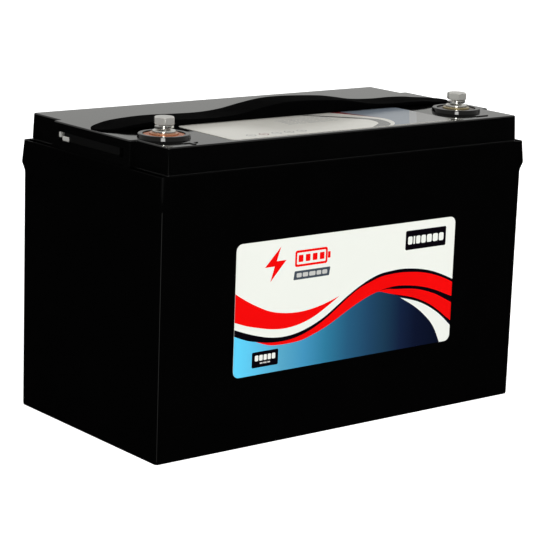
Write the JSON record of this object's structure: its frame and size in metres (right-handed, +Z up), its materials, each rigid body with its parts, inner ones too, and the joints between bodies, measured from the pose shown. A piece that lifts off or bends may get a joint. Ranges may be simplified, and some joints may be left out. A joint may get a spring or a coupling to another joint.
{
  "type": "deep cycle battery",
  "caption": "Rectangular deep cycle battery: black moulded case and lid, bolted terminals on the lid, carrying strap along the top, cells and control board inside.",
  "frame": {"origin": "centre of the case's underside", "axes": "+X along the length from the positive end to the negative end, -Y towards the labelled front, +Z up"},
  "size_m": [0.3314, 0.1736, 0.2291],
  "materials": {
    "case_plastic": "black moulded plastic, semi-gloss walls and a glossy lid top",
    "seal_compound": "matt black sealant",
    "strap_rubber": "satin black moulded rubber",
    "red_resin": "orange-red casting resin, glossy",
    "black_resin": "black-brown casting resin, glossy",
    "terminal_brass": "machined brass, semi-bright",
    "bolt_steel": "nickel-plated steel, satin",
    "busbar_copper": "plain copper strip",
    "label_film": "glossy printed film, off-white, red and blue",
    "cell_sleeve": "blue shrink film over an aluminium can",
    "foam": "dark closed-cell foam",
    "fibre_sheet": "glass-fibre insulating sheet",
    "frame_aluminium": "sheet and extruded aluminium",
    "band_steel": "bright steel banding",
    "board_laminate": "green printed circuit laminate",
    "red_cable": "red flexible cable insulation",
    "black_cable": "black flexible cable insulation",
    "white_wire": "white wire insulation and connector plastic"
  },
  "bodies": {
    "case": {"container": "case_plastic", "lid_seal": "seal_compound", "lid": "case_plastic", "pos_collar": "case_plastic", "neg_collar": "case_plastic", "pos_seal_ring": "red_resin", "neg_seal_ring": "black_resin", "pos_insert": "terminal_brass", "neg_insert": "terminal_brass", "pos_lug_nut": "bolt_steel", "neg_lug_nut": "bolt_steel", "front_label": "label_film", "top_label": "label_film", "strap_end_left": "strap_rubber", "strap_end_right": "strap_rubber", "strap_clip_left": "case_plastic", "strap_clip_right": "case_plastic", "cell_1": "cell_sleeve", "cell_2": "cell_sleeve", "cell_3": "cell_sleeve", "cell_4": "cell_sleeve", "cell_spacer_1": "fibre_sheet", "cell_spacer_2": "fibre_sheet", "cell_spacer_3": "fibre_sheet", "end_plate_left": "frame_aluminium", "end_plate_right": "frame_aluminium", "end_foam_left": "foam", "end_foam_right": "foam", "pack_band_lower": "band_steel", "pack_band_upper": "band_steel", "base_pad": "foam", "busbar_1_2": "busbar_copper", "busbar_2_3": "busbar_copper", "busbar_3_4": "busbar_copper", "cover_sheet": "fibre_sheet", "board_tray": "frame_aluminium", "management_board": "board_laminate", "heat_sink": "frame_aluminium", "balance_socket": "white_wire", "current_shunt": "busbar_copper", "positive_cable": "red_cable", "cell_negative_cable": "black_cable", "output_negative_cable": "black_cable", "sense_wires_rear": "white_wire", "sense_wires_front": "white_wire", "temperature_sensor": "seal_compound"},
    "handle_grip": {"handle_grip": "strap_rubber"},
    "strap_left": {"strap_left": "strap_rubber"},
    "strap_right": {"strap_right": "strap_rubber"},
    "pos_washers": {"pos_flat_washer": "bolt_steel", "pos_spring_washer": "bolt_steel"},
    "pos_bolt": {"pos_bolt": "bolt_steel"},
    "neg_washers": {"neg_flat_washer": "bolt_steel", "neg_spring_washer": "bolt_steel"},
    "neg_bolt": {"neg_bolt": "bolt_steel"}
  },
  "joints": [
    {"name": "handle_lift", "type": "slide", "parent": "case", "child": "handle_grip", "axis": [0, 0, 1], "range_m": [0, 0.018]},
    {"name": "strap_left_bend", "type": "hinge", "parent": "case", "child": "strap_left", "pos_m": [-0.1395, 0, 0.2156], "axis": [0, -1, 0], "range_deg": [0, 11.8]},
    {"name": "strap_right_bend", "type": "hinge", "parent": "case", "child": "strap_right", "pos_m": [0.1395, 0, 0.2156], "axis": [0, 1, 0], "range_deg": [0, 17.5]},
    {"name": "pos_bolt_rise", "type": "slide", "parent": "case", "child": "pos_washers", "axis": [0, 0, 1], "range_m": [0, 0.01]},
    {"name": "pos_bolt_turn", "type": "hinge", "parent": "pos_washers", "child": "pos_bolt", "pos_m": [-0.136, -0.0463, 0.2238], "axis": [0, 0, 1], "range_deg": [0, 2880]},
    {"name": "neg_bolt_rise", "type": "slide", "parent": "case", "child": "neg_washers", "axis": [0, 0, 1], "range_m": [0, 0.01]},
    {"name": "neg_bolt_turn", "type": "hinge", "parent": "neg_washers", "child": "neg_bolt", "pos_m": [0.131, -0.0463, 0.2238], "axis": [0, 0, 1], "range_deg": [0, 2880]}
  ],
  "couplings": [
    {"joint": "strap_left_bend", "follows": "handle_lift", "rad_per_m": 11.3},
    {"joint": "strap_right_bend", "follows": "handle_lift", "rad_per_m": 16.6},
    {"joint": "pos_bolt_turn", "follows": "pos_bolt_rise", "rad_per_m": 5026.5},
    {"joint": "neg_bolt_turn", "follows": "neg_bolt_rise", "rad_per_m": 5026.5}
  ]
}
